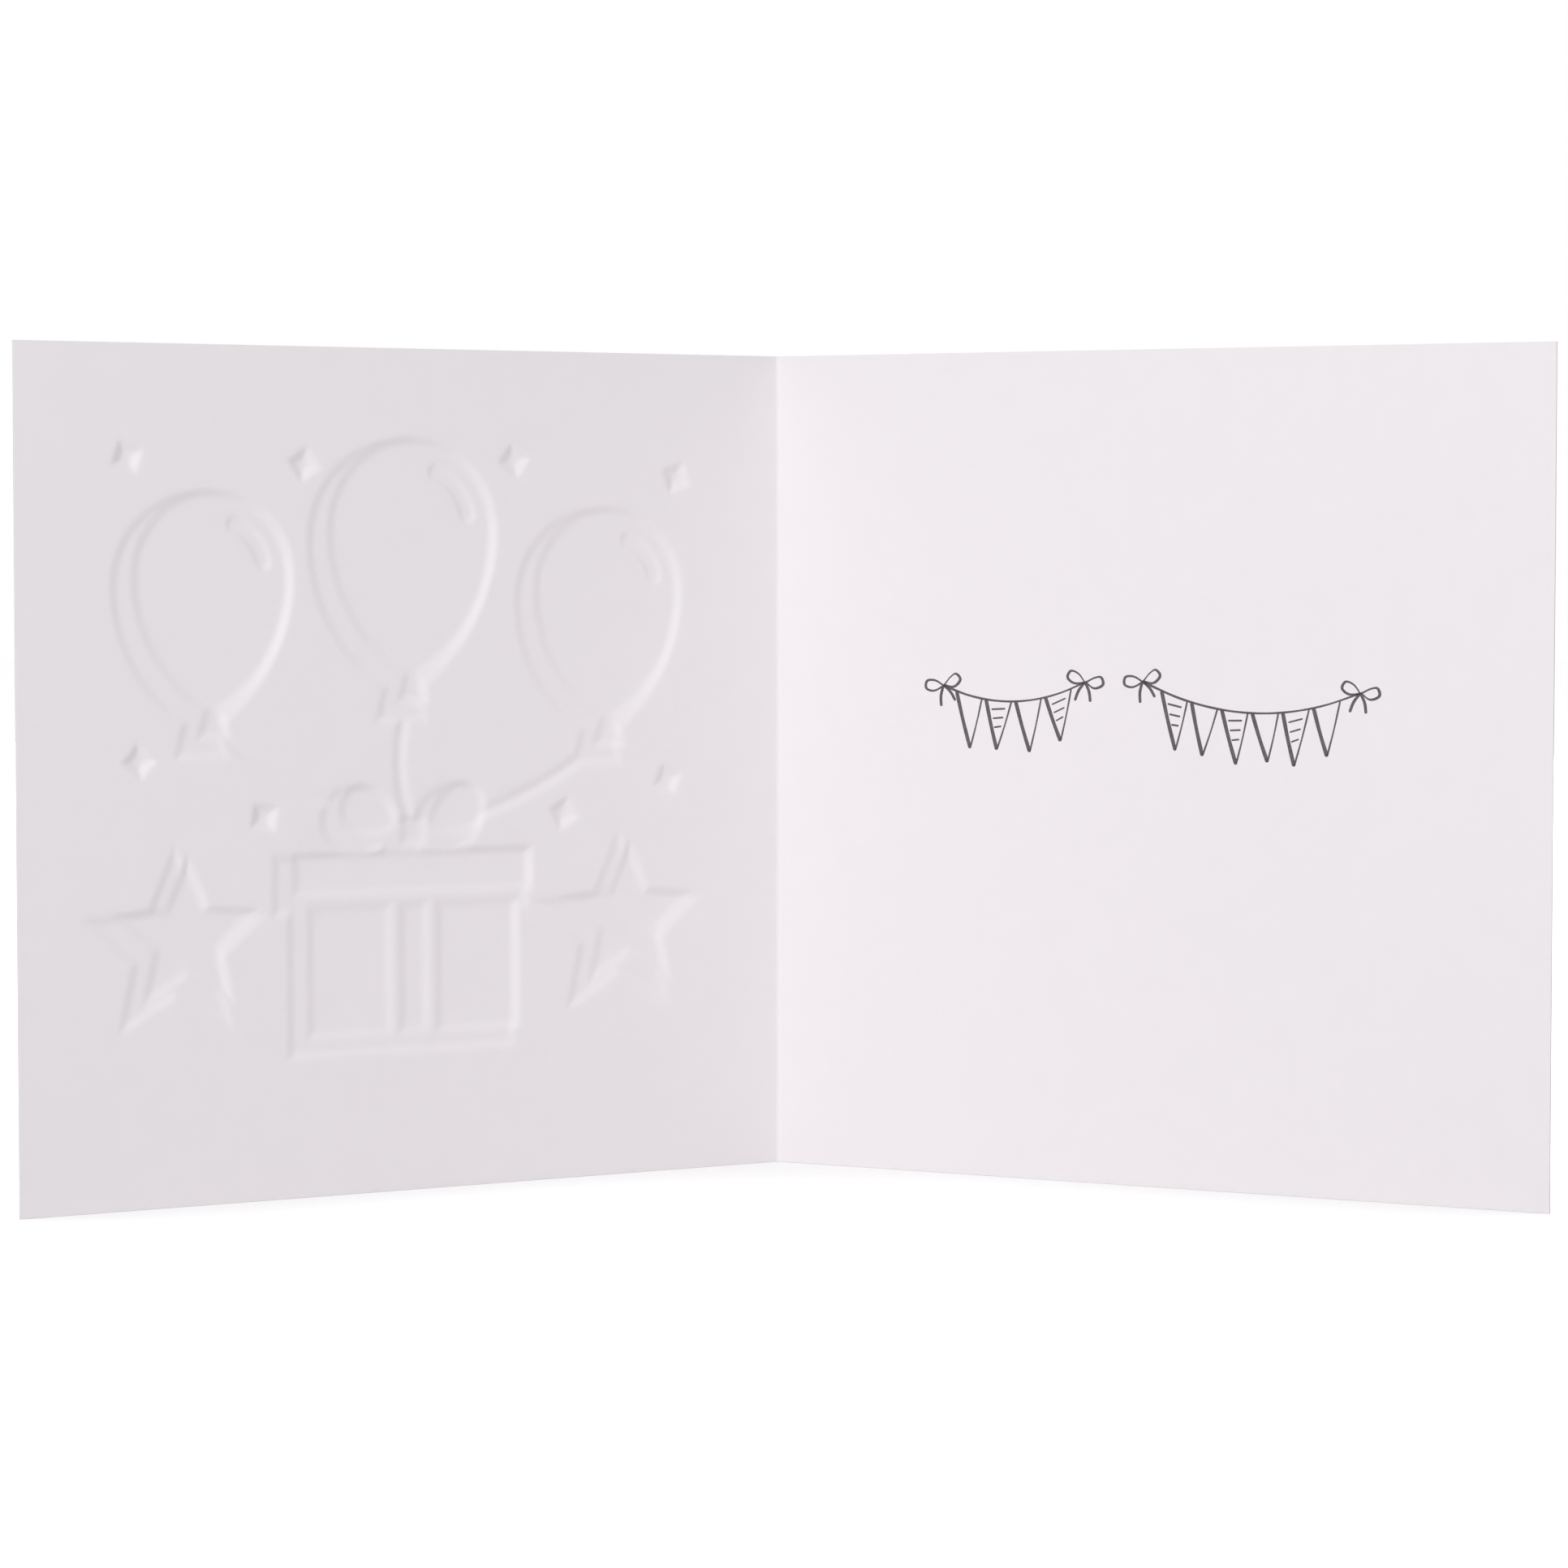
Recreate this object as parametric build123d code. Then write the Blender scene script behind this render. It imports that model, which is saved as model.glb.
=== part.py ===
"""Square greeting card of thick white board, folded once and standing open on its lower edges.

It is one sheet: a front leaf and a back leaf that meet at a pressed fold. The front leaf is
blind embossed in two steps: each figure has a raised face, and a lower step shows beside and
below it like a cast shade. The board keeps its thickness there, so what stands proud on the
outside is sunk into the inside.

Frame: millimetres, Z up. The fold stands upright at the back, both leaves come forward from
it (towards -Y), and the front leaf is on the -X side. The origin is the middle of the
footprint, on the surface that the card stands on.
"""

import os
from math import acos, cos, degrees, radians, sin, sqrt

from build123d import *

# The sheet: each leaf's width runs from where the two leaves' middle planes cross
LEAF_WIDTH = 160.0
CARD_HEIGHT = 160.0
BOARD_THICKNESS = 0.4
OPENING_ANGLE = 122.5
FOLD_INNER_RADIUS = 1.0

# The two steps of the emboss, with walls that lean WALL_SLOPE degrees from the square
FACE_RISE = 0.75
SHADE_RISE = 0.38
WALL_SLOPE = 50.0
SHADE_GROWTH = 1.5
SHADE_SIDEWAYS = 2.6
SHADE_DOWN = 1.9

# The picture is drawn at this size, and enlarged or reduced to fit inside the leaf's margins
PICTURE_WIDTH = 122.0
PICTURE_HEIGHT = 113.0
SIDE_MARGIN = 19.0
FOOT_MARGIN = 30.0
HEAD_MARGIN = 17.0

# Parcel, with its lid and bow
PARCEL_WIDTH = 44.0
PARCEL_HEIGHT = 25.0
RIBBON_WIDTH = 6.0
PARCEL_GAP = 1.8
LID_WIDTH = 50.0
LID_HEIGHT = 8.0
BOW_KNOT_WIDTH = 5.2
BOW_KNOT_HEIGHT = 5.6
BOW_GAP = 1.0
BOW_LOOP_RADIUS = 4.8
BOW_LOOP_TILT = 68.0

# Balloons: the radius of each crown, and its centre across and above the foot of the picture.
BALLOONS = (
    (16.0, 41.0, 87.0),
    (17.5, 0.0, 95.5),
    (16.0, -42.0, 84.0),
)
KNOT_NECK = 2.8
KNOT_FLARE = 6.4
KNOT_LENGTH = 4.4
GLINT_RISE = 0.3
GLINT_WIDTH = 3.0
GLINT_INSET = 5.2
GLINT_START = 115.0
GLINT_SWEEP = 50.0
STRING_WIDTH = 2.2
STRING_BEND = 3.0

# Stars: how far each centre lies to the side of the parcel's middle, and above its foot
STAR_POINTS = 5
STAR_RADIUS = 15.0
STAR_WAIST = 7.0
STAR_OFFSET = 46.5
STAR_LIFT = 20.0

# The drop shape of a balloon and of a bow's loop: the radius of its side arcs, as so many
# times that of its round end
DROP_RATIO = 1.8

# Confetti squares: the centre of each across and above the foot of the picture, and its turn
CONFETTI_SIDE = 4.4
CONFETTI = (
    (58.0, 109.0, 20.0),
    (22.5, 108.0, 55.0),
    (-21.5, 109.0, 35.0),
    (-57.0, 106.0, 70.0),
    (56.0, 53.0, 40.0),
    (31.0, 42.0, 10.0),
    (-32.0, 41.0, 60.0),
    (-55.0, 47.0, 25.0),
)

PICTURE_SCALE = min(
    (LEAF_WIDTH - 2 * SIDE_MARGIN) / PICTURE_WIDTH,
    (CARD_HEIGHT - FOOT_MARGIN - HEAD_MARGIN) / PICTURE_HEIGHT,
)
LID_FOOT = PARCEL_HEIGHT + PARCEL_GAP
BOW_KNOT = (0.0, LID_FOOT + LID_HEIGHT + BOW_GAP + BOW_KNOT_HEIGHT / 2)
HALF_OPENING = radians(OPENING_ANGLE / 2)


def card_blank():
    """The plain folded sheet, with the middle of its fold on the Z axis."""
    across, forward = sin(HALF_OPENING), -cos(HALF_OPENING)

    def edge_points(outward):
        """Fore edge, fold and fore edge of the face that lies this far outside the middle."""
        tip_across = LEAF_WIDTH * across - outward * forward
        tip_forward = LEAF_WIDTH * forward + outward * across
        return (-tip_across, tip_forward), (0, outward / across), (tip_across, tip_forward)

    outer_face = FilletPolyline(*edge_points(BOARD_THICKNESS / 2), radius=FOLD_INNER_RADIUS + BOARD_THICKNESS)
    inner_face = FilletPolyline(*edge_points(-BOARD_THICKNESS / 2), radius=FOLD_INNER_RADIUS)
    fore_edges = [Line(outer_face @ end, inner_face @ end) for end in (0, 1)]
    section = make_face([outer_face, inner_face, *fore_edges])
    return extrude(section, amount=CARD_HEIGHT)


def front_picture_plane():
    """The inner face of the front leaf: X away from the fold, Y up and Z out of the card."""
    away = Vector(-sin(HALF_OPENING), -cos(HALF_OPENING), 0)
    outward = Vector(-cos(HALF_OPENING), sin(HALF_OPENING), 0)
    foot = away * (LEAF_WIDTH / 2) - outward * (BOARD_THICKNESS / 2) + Vector(0, 0, FOOT_MARGIN)
    return Plane(origin=foot, x_dir=away, z_dir=outward)


def drop_length(radius):
    """How far below the centre of its round end the two side arcs of a drop meet."""
    return radius * sqrt(DROP_RATIO**2 - (DROP_RATIO - 1) ** 2)


def drop(radius):
    """A drop that points down, about the centre of its round end."""
    side_radius = DROP_RATIO * radius
    side_centre = side_radius - radius
    sweep = degrees(acos(side_centre / side_radius))
    return make_face([
        CenterArc((0, 0), radius, 0, 180),
        CenterArc((side_centre, 0), side_radius, 180, sweep),
        CenterArc((-side_centre, 0), side_radius, -sweep, sweep),
    ])


def balloon(crown):
    """A balloon about its crown's centre: a drop, with a flared knot at its point."""
    neck_height = KNOT_NECK - drop_length(crown)
    knot_foot = -drop_length(crown) - KNOT_LENGTH
    knot = Polygon(
        (-KNOT_NECK / 2, neck_height),
        (-KNOT_FLARE / 2, knot_foot),
        (KNOT_FLARE / 2, knot_foot),
        (KNOT_NECK / 2, neck_height),
        align=None,
    )
    return drop(crown) + knot


def glint(crown):
    """The curved highlight inside the upper edge of a balloon, on the side nearer the fold."""
    middle = CenterArc((0, 0), crown - GLINT_INSET, GLINT_START, GLINT_SWEEP)
    return SlotArc(middle, GLINT_WIDTH)


def balloon_string(crown, across, up):
    """A string from a balloon's knot to the bow, bent a little to one side."""
    top = Vector(across, up - drop_length(crown) - KNOT_LENGTH / 2)
    foot = Vector(*BOW_KNOT)
    bend = (foot - top).normalized().rotate(Axis.Z, 90) * STRING_BEND
    middle = (top + foot) / 2 + (bend if across >= 0 else -bend)
    return SlotArc(ThreePointArc(top, middle, foot), STRING_WIDTH)


def parcel():
    """The parcel's panels with the ribbon between them, its lid, and the bow on top."""
    panel_width = (PARCEL_WIDTH - RIBBON_WIDTH) / 2 - PARCEL_GAP
    panel_offset = (PARCEL_WIDTH - panel_width) / 2
    half_way_up = PARCEL_HEIGHT / 2
    figures = [
        (Pos(0, half_way_up), Rectangle(RIBBON_WIDTH, PARCEL_HEIGHT)),
        (Pos(0, LID_FOOT + LID_HEIGHT / 2), Rectangle(LID_WIDTH, LID_HEIGHT)),
        (Pos(*BOW_KNOT), Rectangle(BOW_KNOT_WIDTH, BOW_KNOT_HEIGHT)),
    ]
    loop_reach = BOW_KNOT_WIDTH / 2 + BOW_GAP + drop_length(BOW_LOOP_RADIUS)
    for side in (-1, 1):
        figures.append((Pos(side * panel_offset, half_way_up), Rectangle(panel_width, PARCEL_HEIGHT)))
        loop_place = Pos(*BOW_KNOT) * Rot(0, 0, -side * BOW_LOOP_TILT) * Pos(0, loop_reach)
        figures.append((loop_place, drop(BOW_LOOP_RADIUS)))
    return figures


def star():
    """A star about its centre, with one point straight up."""
    corners = []
    for i in range(2 * STAR_POINTS):
        reach = STAR_WAIST if i % 2 else STAR_RADIUS
        turn = radians(90 + i * 180 / STAR_POINTS)
        corners.append((reach * cos(turn), reach * sin(turn)))
    return Polygon(*corners, align=None)


def in_leaf(place):
    """Where a place in the drawing comes on the leaf."""
    moved = Vector(*place.position) * PICTURE_SCALE
    return Pos(moved) * Rot(*place.orientation)


def raised(outline, rise):
    """The block that an outline of the drawing presses up from the leaf, with leaning walls."""
    on_leaf = scale(outline, by=PICTURE_SCALE)
    return extrude(make_face(on_leaf.edges()), amount=rise, taper=WALL_SLOPE)


def picture_relief():
    """All that the picture presses out of the leaf, on the picture's own plane."""
    figures = parcel()
    blocks = []
    for crown, across, up in BALLOONS:
        centre = in_leaf(Pos(across, up))
        figures.append((Pos(across, up), balloon(crown)))
        blocks.append(Pos(0, 0, FACE_RISE) * centre * raised(glint(crown), GLINT_RISE))
        blocks.append(raised(balloon_string(crown, across, up), SHADE_RISE))
    for side in (-1, 1):
        figures.append((Pos(side * STAR_OFFSET, STAR_LIFT), star()))
    for across, up, turn in CONFETTI:
        square = raised(Rectangle(CONFETTI_SIDE, CONFETTI_SIDE), FACE_RISE)
        blocks.append(in_leaf(Pos(across, up)) * Rot(0, 0, turn) * square)
    for place, outline in figures:
        grown = offset(outline, amount=SHADE_GROWTH, kind=Kind.INTERSECTION)
        shade_place = Pos(SHADE_SIDEWAYS, -SHADE_DOWN) * place
        blocks.append(in_leaf(place) * raised(outline, FACE_RISE))
        blocks.append(in_leaf(shade_place) * raised(grown, SHADE_RISE))
    return Part() + blocks


def folded_card():
    """The embossed card, with the middle of its footprint at the origin."""
    blank = card_blank()
    plane = front_picture_plane()
    relief = plane * picture_relief()
    through_board = Pos(plane.z_dir * BOARD_THICKNESS)
    card = blank + through_board * relief - relief
    return Pos(0, -blank.bounding_box().center().Y) * card


os.makedirs("parts", exist_ok=True)
export_step(folded_card(), "parts/folded_card.step")
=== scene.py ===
"""Square greeting card of white board, blind embossed on its front leaf and printed inside.

Metres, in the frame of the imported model: Z up, the fold upright at the back, both leaves coming
forward (towards -Y), the front leaf on the -X side. A place on the opened sheet is (along, up):
along is 0 at the fold, -LEAF_WIDTH at the front leaf's fore edge and +LEAF_WIDTH at the other's.
A place in the emboss is (across, up) from the middle of the picture's foot, away from the fold.
"""

from math import acos, atan2, ceil, cos, hypot, pi, radians, sin, sqrt, tan

import bmesh
import bpy
import numpy as np
from mathutils import Color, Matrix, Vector
from mathutils.geometry import delaunay_2d_cdt


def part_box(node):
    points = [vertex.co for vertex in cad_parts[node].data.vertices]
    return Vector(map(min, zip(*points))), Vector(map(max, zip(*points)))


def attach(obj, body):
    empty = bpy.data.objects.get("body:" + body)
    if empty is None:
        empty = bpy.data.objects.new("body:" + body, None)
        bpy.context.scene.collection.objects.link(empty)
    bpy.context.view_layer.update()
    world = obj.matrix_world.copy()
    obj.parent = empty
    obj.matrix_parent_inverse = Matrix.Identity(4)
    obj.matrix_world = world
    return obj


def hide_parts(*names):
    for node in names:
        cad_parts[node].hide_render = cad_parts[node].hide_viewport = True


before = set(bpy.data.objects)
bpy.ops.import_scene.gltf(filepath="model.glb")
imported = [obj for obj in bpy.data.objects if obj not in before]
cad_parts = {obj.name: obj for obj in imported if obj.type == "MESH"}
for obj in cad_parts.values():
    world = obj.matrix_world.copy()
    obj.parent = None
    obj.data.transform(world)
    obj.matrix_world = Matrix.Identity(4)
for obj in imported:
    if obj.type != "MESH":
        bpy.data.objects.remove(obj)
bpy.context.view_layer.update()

# The sheet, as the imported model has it
LEAF_WIDTH = 0.160
CARD_HEIGHT = 0.160
BOARD_THICKNESS = 0.0004
HALF_OPENING = radians(61.25)
FOLD_INNER_RADIUS = 0.001

# The emboss: how far each step is pressed, how far from the square the straight walls of the
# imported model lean, and how wide the soft walls are that take their place
FACE_RISE = 0.00075
SHADE_RISE = 0.00038
GLINT_RISE = 0.0003
WALL_SLOPE = radians(50)
FACE_WALL = 0.0023
SHADE_WALL = 0.0022
GLINT_WALL = 0.0014

# How much larger a shade is than its figure, how far it is moved, and how high the picture stands
SHADE_GROWTH = 0.0015
SHADE_SIDEWAYS = 0.0026
SHADE_DOWN = 0.0019
PICTURE_FOOT = 0.030

# Parcel, lid and bow
PARCEL_WIDTH = 0.044
PARCEL_HEIGHT = 0.025
RIBBON_WIDTH = 0.006
PARCEL_GAP = 0.0018
LID_WIDTH = 0.050
LID_HEIGHT = 0.008
BOW_KNOT_WIDTH = 0.0052
BOW_KNOT_HEIGHT = 0.0056
BOW_GAP = 0.001
BOW_LOOP_RADIUS = 0.0048
BOW_LOOP_TILT = radians(68)

# Balloons: the radius of each crown, and its centre across and up
BALLOONS = (
    (0.016, 0.041, 0.087),
    (0.0175, 0.0, 0.0955),
    (0.016, -0.042, 0.084),
)
DROP_RATIO = 1.8
KNOT_NECK = 0.0028
KNOT_FLARE = 0.0064
KNOT_LENGTH = 0.0044
GLINT_WIDTH = 0.003
GLINT_INSET = 0.0052
GLINT_START = radians(115)
GLINT_SWEEP = radians(50)
STRING_WIDTH = 0.0022
STRING_BEND = 0.003

# Stars and confetti squares (across, up, turn in degrees)
STAR_POINTS = 5
STAR_RADIUS = 0.015
STAR_WAIST = 0.007
STAR_OFFSET = 0.0465
STAR_LIFT = 0.020
CONFETTI_SIDE = 0.0044
CONFETTI = (
    (0.058, 0.109, 20),
    (0.0225, 0.108, 55),
    (-0.0215, 0.109, 35),
    (-0.057, 0.106, 70),
    (0.056, 0.053, 40),
    (0.031, 0.042, 10),
    (-0.032, 0.041, 60),
    (-0.055, 0.047, 25),
)

# How finely outlines are stepped: straight, round an arc, and where another figure cuts them off
OUTLINE_STEP = 0.001
OUTLINE_TURN = radians(16)
CLIPPED_STEP = 0.00005
FEWEST_STEPS = 2

# Rows of points along each wall: where they lie, as shares of its width from its middle, how true
# each point has to be, and how the rows turn round corners
ROW_SHARES = (-0.67, -0.5, -0.3, -0.1, 0.1, 0.3, 0.5, 0.67)
ROW_TOLERANCE = 0.00004
FAN_TURN = radians(25)
POINTS_AT_ONCE = 4000

# How close the rows' points may come to each other, how far apart points are on the open board
# and along the edges, and which ones are merged
POINT_GAP = 0.00024
OPEN_STEP = 0.0045
OPEN_MARGIN = 0.0011
EDGE_STEP = 0.004
MERGE_GAP = 0.0000002
WHOLE_HULL = 0

# Upright lines of points: in the fold, as shares of half its width, and beside it, from its middle
FOLD_COLUMNS = (-1.0, -0.75, -0.5, -0.25, 0.0, 0.25, 0.5, 0.75, 1.0)
CREASE_MARGINS = (0.001, 0.0018, 0.0032)
CREASE_ANGLE = radians(35)

# How far the cut edges are broken, and how closely the board can follow a corner of the die
EDGE_SOFTNESS = 0.00005
SHEET_SOFTNESS = 0.0004
SOFTNESS_SAMPLES = 6

# The board's gentle unevenness: each swell's share, its turns along and up the sheet in radians
# a metre, and its start
WAVE_HEIGHT = 0.00012
WAVE_START = 0.012
WAVES = (
    (0.5, 31, 27, 0.4),
    (0.5, 31, -27, 1.8),
    (0.6, 17, 41, 0.0),
)

# The pen: how finely its strokes are stepped, how much more it presses going down, how its width
# wavers, and how wide a stroke's very ends are, as a share of the stroke
PEN_STEP = 0.0002
PEN_END_STEPS = 5
PEN_PRESSURE = 0.38
PEN_TREMOR = 0.06
PEN_TREMOR_LENGTH = 0.0011
PEN_TIP_SHARE = 0.14

# How wide each kind of stroke is
LINE_WEIGHT = 0.00044
FLAG_WEIGHT = 0.0006
HATCH_WEIGHT = 0.00038
BOW_WEIGHT = 0.00046

# The ink: how far it stands on the board and reaches into it, and how wide its flat top is, as a
# share of the stroke
INK_HEIGHT = 0.00002
INK_SINK = 0.00001
INK_SHOULDER = 0.8

# Each swag: its start and end on the leaf, how far it sags, how many flags it has, and its first
# hatched flag, counted from 0 (from there on, every second one is hatched)
SWAGS = (
    ((0.0365, 0.0955), (0.0665, 0.0965), 0.0034, 4, 1),
    ((0.0785, 0.0968), (0.1225, 0.0952), 0.0048, 6, 0),
)
LINE_KNOTS = 7

# Flags: how long each is and how far its tip leans, the share of the line that they take up
# together, a flag's share of its own room, and how much its sides bow
FLAG_HEIGHTS = (0.0104, 0.0096, 0.0101, 0.0093, 0.0105, 0.0098)
FLAG_LEANS = (0.0002, -0.0004, 0.0003, 0.0005, -0.0003, 0.0001)
FLAGS_SHARE = 0.84
FLAG_SHARE = 0.86
FLAG_BOW = 0.0001

# Hatching: how far down the flag each line is, its clearance at both ends, and how it slants
HATCH_SHARES = (0.2, 0.38, 0.56)
HATCH_INSET = 0.16
HATCH_SLANT = 0.0005

# The pen's bow: its strokes about the knot, in shares of its size
PEN_BOW_SIZE = 0.0031
PEN_BOW_LEAN = radians(12)
PEN_BOW_LOOPS = (
    (0, 0), (-0.5, 0.42), (-1.05, 0.5), (-1.2, 0.05), (-0.7, -0.2), (0, 0),
    (0.55, 0.4), (1.0, 0.55), (1.22, 0.12), (0.68, -0.22), (0.02, 0.05),
)
PEN_BOW_TAILS = (
    ((-0.02, -0.02), (-0.3, -0.6), (-0.42, -1.25)),
    ((0.05, -0.02), (0.4, -0.5), (0.62, -1.1)),
)

# Colours as screen values from 0 to 255, and how each surface takes the light
BOARD_COLOUR = (241, 236, 240)
BOARD_COLOUR_DEEP = (240, 235, 239)
BOARD_ROUGHNESS = (0.62, 0.78)
BOARD_SPECULAR = 0.35
CORE_COLOUR = (245, 241, 243)
CORE_COLOUR_DEEP = (237, 232, 234)
CORE_ROUGHNESS = 0.9
CORE_SPECULAR = 0.2
INK_COLOUR = (78, 73, 78)
INK_COLOUR_PALE = (108, 102, 107)
INK_ROUGHNESS = (0.5, 0.75)
INK_SPECULAR = 0.3

# Each noise: how large its features are, and how many rounds of finer ones are laid over them
CLOUDS = (0.007, 3)
TOOTH = (0.0005, 3)
FIBRES = (0.0002, 2)
LAYERS = (0.00012, 4)
INK_GRAIN = (0.0003, 3)
INK_POOLS = (0.003, 2)
NOISE_ROUGHNESS = 0.55
NOISE_LOW = 0.3
NOISE_HIGH = 0.7
FIBRE_STRETCH = (1, 1, 0.35)
TOOTH_DEPTH = 0.000006
LAYER_DEPTH = 0.00001

# The floor's paint and glow, and the shadow painted into the glow close to the card: within what
# distance, from how much open space above a point, and to what share the glow falls there
FLOOR_RADIUS = 4.0
FLOOR_GAP = 0.00002
FLOOR_SEGMENTS = 96
FLOOR_SHADE = 0.6
FLOOR_GLOW = 0.83
PAINTED_SHADOW_SIZE = 0.07
PAINTED_SHADOW_OPENNESS = 0.5
PAINTED_SHADOW_GLOW = 0.45
PAINTED_SHADOW_SAMPLES = 6

# Each lamp: its name, watts, width, distance from the card, turn to the card's left, and turn up
WORLD_LIGHT = 0.25
LAMPS = (
    ("key", 24.6, 0.95, 2.2, radians(22), radians(23)),
    ("fill", 6.8, 1.0, 2.0, radians(-10), radians(9)),
    ("back_key", 14.0, 0.75, 1.75, radians(202), radians(14)),
    ("back_fill", 9.0, 1.0, 2.0, radians(170), radians(7)),
    ("overhead", 4.0, 0.8, 1.6, radians(0), radians(90)),
)

# The camera, which looks down and to its right a little; lens and sensor are in millimetres
CAMERA_PLACE = (-0.0230, -0.9047, 0.1247)
CAMERA_DOWN = radians(2.993)
CAMERA_TURN = radians(-1.474)
CAMERA_LENS = 109.21
CAMERA_SENSOR = 36.0
CAMERA_NEAR = 0.01

LID_FOOT = PARCEL_HEIGHT + PARCEL_GAP
BOW_KNOT = (0.0, LID_FOOT + LID_HEIGHT + BOW_GAP + BOW_KNOT_HEIGHT / 2)
FOLD_MIDDLE_RADIUS = FOLD_INNER_RADIUS + BOARD_THICKNESS / 2
FOLD_SWEEP = pi / 2 - HALF_OPENING
FOLD_TANGENT = FOLD_MIDDLE_RADIUS * tan(FOLD_SWEEP)
FOLD_CENTRE_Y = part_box("folded_card")[1].y - FOLD_INNER_RADIUS - BOARD_THICKNESS
APEX_Y = FOLD_CENTRE_Y + FOLD_MIDDLE_RADIUS / cos(FOLD_SWEEP)


# Small helpers

def pairs(first, second):
    """Rows of two values, from two lists, or from a list and one value that goes with all of it."""
    return np.stack(np.broadcast_arrays(first, second), 1)


def spread(start, end, step):
    """Evenly spaced values from start to end, about a step apart."""
    return np.linspace(start, end, ceil((end - start) / step) + 1)


def soft_step(share):
    """0 up to 0, 1 from 1 on, and an S between them."""
    share = np.clip(share, 0, 1)
    return share * share * (3 - 2 * share)


def turned(points, angle):
    """The points turned about the origin."""
    turn = np.array([[cos(angle), -sin(angle)], [sin(angle), cos(angle)]])
    return np.asarray(points) @ turn.T


def turn_of(step):
    """Which way a step goes, as an angle."""
    return atan2(step[1], step[0])


def short_way(turn):
    """The same turn, or turns, by less than half a round."""
    return (turn + pi) % (2 * pi) - pi


def directions(steps):
    """The steps, each with a length of one."""
    return steps / np.linalg.norm(steps, axis=1)[:, None]


def right_of(ahead):
    """The directions a quarter turn to the right of these."""
    return pairs(ahead[:, 1], -ahead[:, 0])


def added(name, data):
    """A new object that shows the data, in the scene."""
    made = bpy.data.objects.new(name, data)
    bpy.context.scene.collection.objects.link(made)
    return made


# Outlines in the emboss

def arc(centre, radius, start, sweep):
    """Points along an arc, both ends included."""
    steps = max(FEWEST_STEPS, ceil(abs(sweep) / min(OUTLINE_TURN, OUTLINE_STEP / radius)))
    turns = start + sweep * np.linspace(0, 1, steps + 1)
    return pairs(centre[0] + radius * np.cos(turns), centre[1] + radius * np.sin(turns))


def rectangle(width, height):
    """A rectangle about its centre."""
    return np.array([(-1, -1), (1, -1), (1, 1), (-1, 1)]) * (width / 2, height / 2)


def drop_length(radius):
    """How far below the centre of its round end the two side arcs of a drop meet."""
    return radius * sqrt(DROP_RATIO**2 - (DROP_RATIO - 1) ** 2)


def drop(radius):
    """A drop that points down, about the centre of its round end."""
    side_radius = DROP_RATIO * radius
    side_centre = side_radius - radius
    sweep = acos(side_centre / side_radius)
    crown = arc((0, 0), radius, 0, pi)
    left_side = arc((side_centre, 0), side_radius, pi, sweep)
    right_side = arc((-side_centre, 0), side_radius, -sweep, sweep)
    return np.concatenate([crown, left_side[1:], right_side[1:-1]])


def balloon_knot(crown):
    """The flared knot at a balloon's point, about the crown's centre."""
    neck_height = KNOT_NECK - drop_length(crown)
    foot = -drop_length(crown) - KNOT_LENGTH
    return np.array([
        (-KNOT_NECK / 2, neck_height),
        (-KNOT_FLARE / 2, foot),
        (KNOT_FLARE / 2, foot),
        (KNOT_NECK / 2, neck_height),
    ])


def star():
    """A star about its centre, with one point straight up."""
    corners = np.arange(2 * STAR_POINTS)
    turns = pi / 2 + pi / STAR_POINTS * corners
    reach = np.where(corners % 2, STAR_WAIST, STAR_RADIUS)
    return pairs(reach * np.cos(turns), reach * np.sin(turns))


def band(middle, width):
    """The outline of a round-ended band along a line of points."""
    right = right_of(directions(np.gradient(middle, axis=0))) * width / 2
    end_cap = arc(middle[-1], width / 2, turn_of(right[-1]), pi)
    start_cap = arc(middle[0], width / 2, turn_of(-right[0]), pi)
    return np.concatenate([middle + right, end_cap[1:-1], (middle - right)[::-1], start_cap[1:-1]])


def glint(crown):
    """The curved highlight inside the upper edge of a balloon, on the side nearer the fold."""
    return band(arc((0, 0), crown - GLINT_INSET, GLINT_START, GLINT_SWEEP), GLINT_WIDTH)


def balloon_string(crown, across, up):
    """A string from a balloon's knot to the bow, bent a little to one side."""
    top = np.array([across, up - drop_length(crown) - KNOT_LENGTH / 2])
    foot = np.array(BOW_KNOT)
    chord = foot - top
    half = hypot(*chord) / 2
    bend = turned(chord / (2 * half), pi / 2)
    if across < 0:
        bend = -bend
    radius = (half**2 + STRING_BEND**2) / (2 * STRING_BEND)
    centre = (top + foot) / 2 + bend * (STRING_BEND - radius)
    start = turn_of(top - centre)
    sweep = short_way(turn_of(foot - centre) - start)
    return band(arc(centre, radius, start, sweep), STRING_WIDTH)


def parcel():
    """The parcel's panels with the ribbon between them, its lid, and the bow on top."""
    panel_width = (PARCEL_WIDTH - RIBBON_WIDTH) / 2 - PARCEL_GAP
    panel_offset = (PARCEL_WIDTH - panel_width) / 2
    loop_reach = BOW_KNOT_WIDTH / 2 + BOW_GAP + drop_length(BOW_LOOP_RADIUS)
    figures = [
        rectangle(RIBBON_WIDTH, PARCEL_HEIGHT) + (0, PARCEL_HEIGHT / 2),
        rectangle(LID_WIDTH, LID_HEIGHT) + (0, LID_FOOT + LID_HEIGHT / 2),
        rectangle(BOW_KNOT_WIDTH, BOW_KNOT_HEIGHT) + BOW_KNOT,
    ]
    for side in (-1, 1):
        panel = rectangle(panel_width, PARCEL_HEIGHT) + (side * panel_offset, PARCEL_HEIGHT / 2)
        loop = turned(drop(BOW_LOOP_RADIUS) + (0, loop_reach), -side * BOW_LOOP_TILT) + BOW_KNOT
        figures += [panel, loop]
    return figures


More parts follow.
